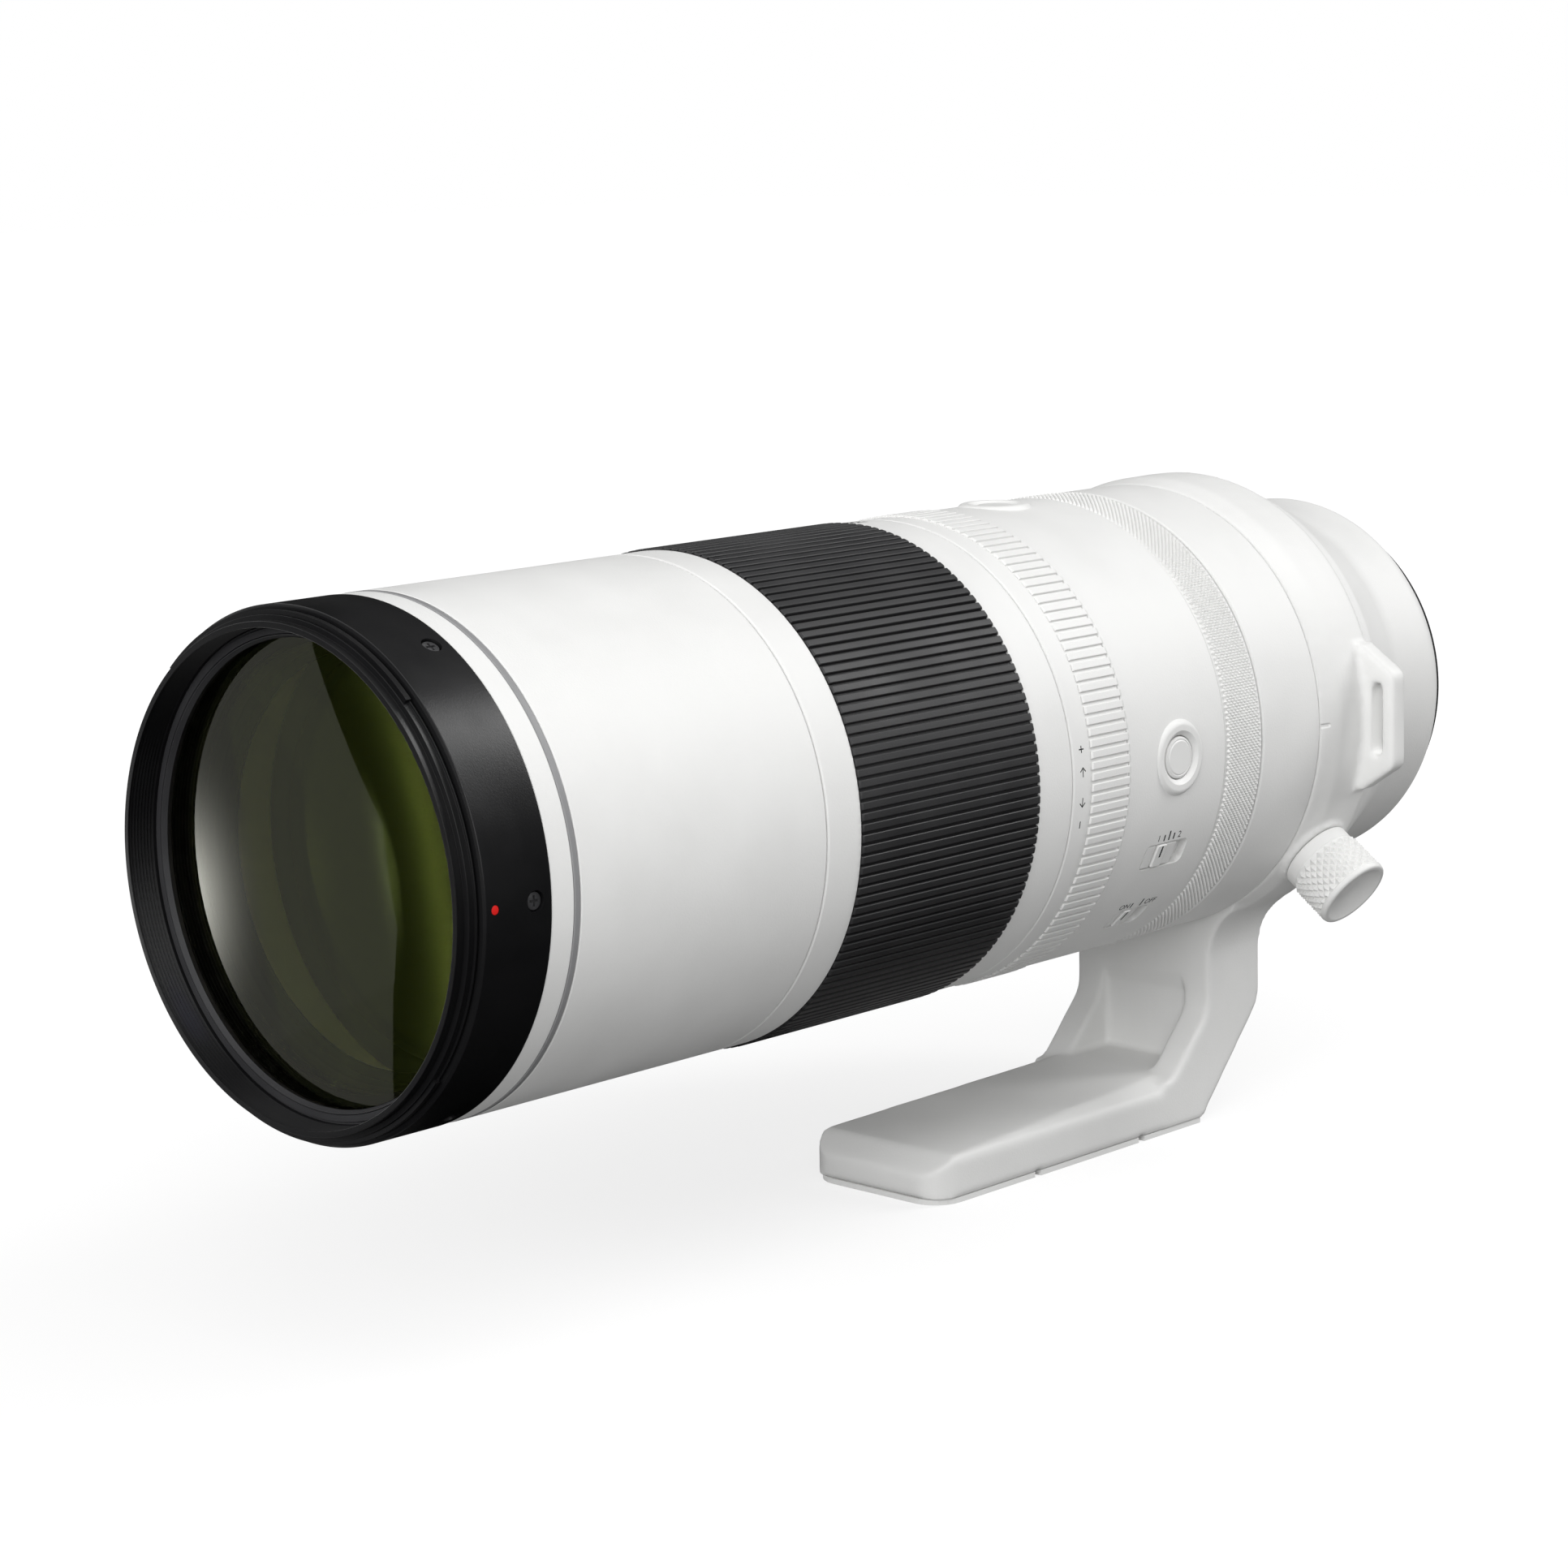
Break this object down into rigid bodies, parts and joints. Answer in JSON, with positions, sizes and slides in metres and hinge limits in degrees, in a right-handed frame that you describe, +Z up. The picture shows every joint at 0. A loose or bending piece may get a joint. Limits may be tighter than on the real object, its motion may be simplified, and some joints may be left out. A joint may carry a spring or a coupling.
{
  "type": "camera zoom lens",
  "caption": "White super-telephoto zoom lens with an extending front barrel, ribbed rubber zoom ring, slide switches and a rotating tripod collar on a long foot",
  "frame": {"origin": "mouth of the tripod socket in the underside of the foot", "axes": "the optical axis lies along Y, the front element faces -Y, the camera mount faces +Y, Z is up"},
  "size_m": [0.1202, 0.3208, 0.1471],
  "materials": {
    "white_paint": "matte",
    "white_plastic": "matte",
    "black_plastic": "satin",
    "black_metal": "matte",
    "rubber": "matte",
    "trim_metal": "satin",
    "dark_steel": "satin",
    "steel": "satin",
    "chrome": "polished",
    "brass": "satin",
    "glass": "polished",
    "red_paint": "satin",
    "circuit_board": "satin"
  },
  "bodies": {
    "tripod_collar": {"tripod_collar": "white_paint", "foot_pad": "white_plastic", "foot_pad_screws": "steel", "tripod_bush": "steel", "collar_lining": "black_plastic", "clamp_shoe": "brass"},
    "lock_knob": {"lock_knob": "white_paint", "lock_screw": "steel"},
    "main_barrel": {"switch_barrel": "white_paint", "rear_barrel": "white_paint", "rear_cover": "white_paint", "mount_seal": "rubber", "bayonet_mount": "chrome", "mount_screws": "dark_steel", "rear_baffle": "black_plastic", "contact_block": "black_plastic", "contact_pins": "brass", "guide_barrel": "trim_metal", "inner_frame": "black_metal", "main_board": "circuit_board", "middle_cell": "black_metal", "middle_element": "glass", "stabilizer_base": "black_metal", "stabilizer_coils": "brass", "diaphragm_base": "black_metal", "diaphragm_blades": "black_metal", "diaphragm_cover": "black_metal", "rear_cell": "black_metal", "rear_elements": "glass", "focus_rods": "steel", "focus_motor": "black_plastic"},
    "zoom_ring": {"zoom_ring": "white_paint", "zoom_grip": "rubber", "cam_barrel": "trim_metal", "cam_screws": "steel"},
    "front_barrel": {"hood_mount": "black_plastic", "hood_mount_screws": "dark_steel", "index_dot": "red_paint", "front_band": "white_plastic", "trim_ring": "trim_metal", "front_tube": "white_plastic", "front_retainer": "black_metal", "front_element": "glass", "second_element": "glass", "third_element": "glass", "front_cell": "black_plastic", "extension_tube": "black_metal", "cam_followers": "steel"},
    "tension_ring": {"tension_ring": "white_paint"},
    "control_ring": {"control_ring": "white_paint"},
    "side_button": {"side_button": "white_plastic"},
    "top_button": {"top_button": "white_plastic"},
    "focus_mode_switch": {"focus_mode_switch": "white_plastic"},
    "stabilizer_switch": {"stabilizer_switch": "white_plastic"},
    "stabilizer_guide": {"stabilizer_guide": "trim_metal"},
    "stabilizer_cell": {"stabilizer_cell": "black_metal", "stabilizer_element": "glass"},
    "focus_group": {"focus_cell": "black_metal", "focus_element": "glass"}
  },
  "joints": [
    {"name": "barrel_turn", "type": "hinge", "parent": "tripod_collar", "child": "main_barrel", "pos_m": [0, 0, 0.095], "axis": [0, 1, 0], "continuous": true},
    {"name": "knob_turn", "type": "hinge", "parent": "tripod_collar", "child": "lock_knob", "pos_m": [0.04823, 0.05215, 0.05931], "axis": [0.8039, 0, -0.5948], "range_deg": [0, 270]},
    {"name": "zoom_turn", "type": "hinge", "parent": "main_barrel", "child": "zoom_ring", "pos_m": [0, 0, 0.095], "axis": [0, 1, 0], "range_deg": [0, 100]},
    {"name": "front_extend", "type": "slide", "parent": "main_barrel", "child": "front_barrel", "axis": [0, -1, 0], "range_m": [0, 0.112]},
    {"name": "tension_turn", "type": "hinge", "parent": "main_barrel", "child": "tension_ring", "pos_m": [0, 0, 0.095], "axis": [0, 1, 0], "range_deg": [-25, 25]},
    {"name": "control_turn", "type": "hinge", "parent": "main_barrel", "child": "control_ring", "pos_m": [0, 0, 0.095], "axis": [0, 1, 0], "continuous": true},
    {"name": "side_press", "type": "slide", "parent": "main_barrel", "child": "side_button", "axis": [-1, 0, 0], "range_m": [0, 0.0005], "stiffness_N_per_m": 1500, "springref_m": -0.0004},
    {"name": "top_press", "type": "slide", "parent": "main_barrel", "child": "top_button", "axis": [0, 0, -1], "range_m": [0, 0.0005], "stiffness_N_per_m": 1500, "springref_m": -0.0004},
    {"name": "focus_mode_slide", "type": "slide", "parent": "main_barrel", "child": "focus_mode_switch", "axis": [0, 1, 0], "range_m": [0, 0.0032]},
    {"name": "stabilizer_switch_slide", "type": "slide", "parent": "main_barrel", "child": "stabilizer_switch", "axis": [0, 1, 0], "range_m": [0, 0.0032]},
    {"name": "focus_slide", "type": "slide", "parent": "main_barrel", "child": "focus_group", "axis": [0, 1, 0], "range_m": [-0.005, 0.005]},
    {"name": "shift_across", "type": "slide", "parent": "main_barrel", "child": "stabilizer_guide", "axis": [1, 0, 0], "range_m": [-0.0008, 0.0008]},
    {"name": "shift_up", "type": "slide", "parent": "stabilizer_guide", "child": "stabilizer_cell", "axis": [0, 0, 1], "range_m": [-0.0008, 0.0008]}
  ],
  "couplings": [
    {"joint": "front_extend", "follows": "zoom_turn", "m_per_rad": 0.064171}
  ]
}
